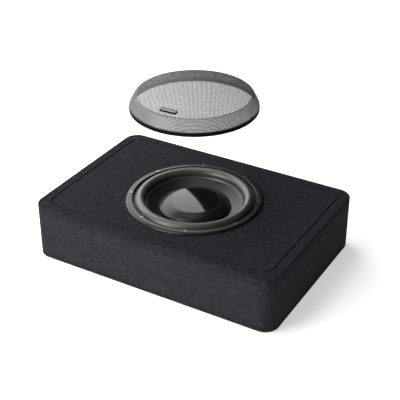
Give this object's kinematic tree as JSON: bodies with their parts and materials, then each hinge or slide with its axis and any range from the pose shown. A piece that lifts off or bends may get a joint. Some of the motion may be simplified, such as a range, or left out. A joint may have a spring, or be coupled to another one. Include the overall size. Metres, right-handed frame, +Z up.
{
  "type": "powered car subwoofer",
  "caption": "Low rectangular subwoofer cabinet with a round driver in its lid, a lift-off domed grille and a recessed amplifier panel.",
  "frame": {"origin": "middle of the underside, on the surface the cabinet rests on", "axes": "+X along the cabinet, +Y towards its back, +Z up along the driver's axis"},
  "size_m": [0.56, 0.38, 0.3669],
  "materials": {
    "coated_board": "pebbled spray coat over board",
    "raw_board": "raw board",
    "black_steel": "black oxide",
    "brass": "machined",
    "foam": "closed-cell foam",
    "basket_steel": "textured black",
    "surround_rubber": "satin",
    "cone_pulp": "matt, fine grain",
    "cap_satin": "satin",
    "cap_gloss": "high gloss",
    "former_alu": "satin",
    "copper": "enamelled wire",
    "spider_cloth": "impregnated weave",
    "zinc_steel": "zinc plated",
    "ferrite": "pressed ceramic",
    "strip_board": "phenolic",
    "braid": "tinned braid",
    "lead_jacket": "soft insulation",
    "trim_plastic": "semi-gloss moulded",
    "ring_plastic": "moulded",
    "grille_sheet": "perforated steel, satin grey coat",
    "badge_chrome": "plain, no marking",
    "panel_coat": "black textured coat",
    "housing_alu": "folded sheet",
    "board_green": "solder mask",
    "heatsink_alu": "extruded",
    "chip_epoxy": "moulded epoxy",
    "winding": "wound toroid",
    "capacitor_sleeve": "shrink sleeve",
    "black_plastic": "moulded",
    "bright_screw": "nickel plated",
    "fuse_body": "translucent amber",
    "phono_shell": "gold plated",
    "phono_core": "white insulator",
    "knob_plastic": "soft moulded",
    "lever_plastic": "moulded",
    "led_lens": "tinted lens"
  },
  "bodies": {
    "cabinet": {"bottom_panel": "coated_board", "front_wall": "coated_board", "back_wall": "coated_board", "right_wall": "coated_board", "left_wall": "coated_board", "corner_posts": "coated_board", "top_frame": "coated_board", "baffle_panel": "coated_board", "ledge_strips": "raw_board", "brace_board": "raw_board", "amp_bulkhead": "raw_board", "wire_grommet": "foam", "tie_bolts": "black_steel", "threaded_inserts": "brass", "driver_gasket": "foam", "basket": "basket_steel", "surround": "surround_rubber", "spider": "spider_cloth", "top_plate": "zinc_steel", "magnet": "ferrite", "back_plate": "zinc_steel", "terminal_strip": "strip_board", "tinsel_leads": "braid", "speaker_leads": "lead_jacket", "trim_ring": "trim_plastic", "trim_screws": "black_steel", "amp_panel": "panel_coat", "amp_gasket": "foam", "amp_panel_screws": "black_steel", "amp_housing": "housing_alu", "amp_board": "board_green", "heatsink": "heatsink_alu", "power_transistors": "chip_epoxy", "transformer": "winding", "capacitors": "capacitor_sleeve", "power_terminal_block": "black_plastic", "terminal_screws": "bright_screw", "fuse_holder": "black_plastic", "fuses": "fuse_body", "phono_jacks": "phono_shell", "phono_cores": "phono_core", "speaker_input_socket": "black_plastic", "socket_pins": "bright_screw", "remote_port": "black_plastic", "controls": "black_plastic", "switch_frames": "black_plastic", "power_led": "led_lens"},
    "driver_cone": {"cone": "cone_pulp", "dust_cap": "cap_satin", "dust_cap_disc": "cap_gloss", "voice_coil_former": "former_alu", "voice_coil": "copper"},
    "grille": {"grille_ring": "ring_plastic", "grille_cap": "grille_sheet", "grille_badge": "badge_chrome"},
    "gain_control": {"gain_knob": "knob_plastic"},
    "lowpass_control": {"lowpass_knob": "knob_plastic"},
    "boost_control": {"boost_knob": "knob_plastic"},
    "phase_switch": {"phase_lever": "lever_plastic"},
    "input_switch": {"input_lever": "lever_plastic"}
  },
  "joints": [
    {"name": "grille_lift", "type": "slide", "parent": "cabinet", "child": "grille", "axis": [0, 0, 1], "range_m": [-0.2105, 0]},
    {"name": "cone_travel", "type": "slide", "parent": "cabinet", "child": "driver_cone", "axis": [0, 0, 1], "range_m": [-0.008, 0.008], "stiffness_N_per_m": 3000, "deforming": ["surround", "spider", "tinsel_leads"]},
    {"name": "gain_turn", "type": "hinge", "parent": "cabinet", "child": "gain_control", "pos_m": [-0.266, -0.004, 0.072], "axis": [-1, 0, 0], "range_deg": [-140, 140]},
    {"name": "lowpass_turn", "type": "hinge", "parent": "cabinet", "child": "lowpass_control", "pos_m": [-0.266, 0.022, 0.072], "axis": [-1, 0, 0], "range_deg": [-140, 140]},
    {"name": "boost_turn", "type": "hinge", "parent": "cabinet", "child": "boost_control", "pos_m": [-0.266, 0.048, 0.072], "axis": [-1, 0, 0], "range_deg": [-140, 140]},
    {"name": "phase_slide", "type": "slide", "parent": "cabinet", "child": "phase_switch", "axis": [0, 1, 0], "range_m": [-0.002, 0.002]},
    {"name": "input_slide", "type": "slide", "parent": "cabinet", "child": "input_switch", "axis": [0, 1, 0], "range_m": [-0.002, 0.002]}
  ]
}
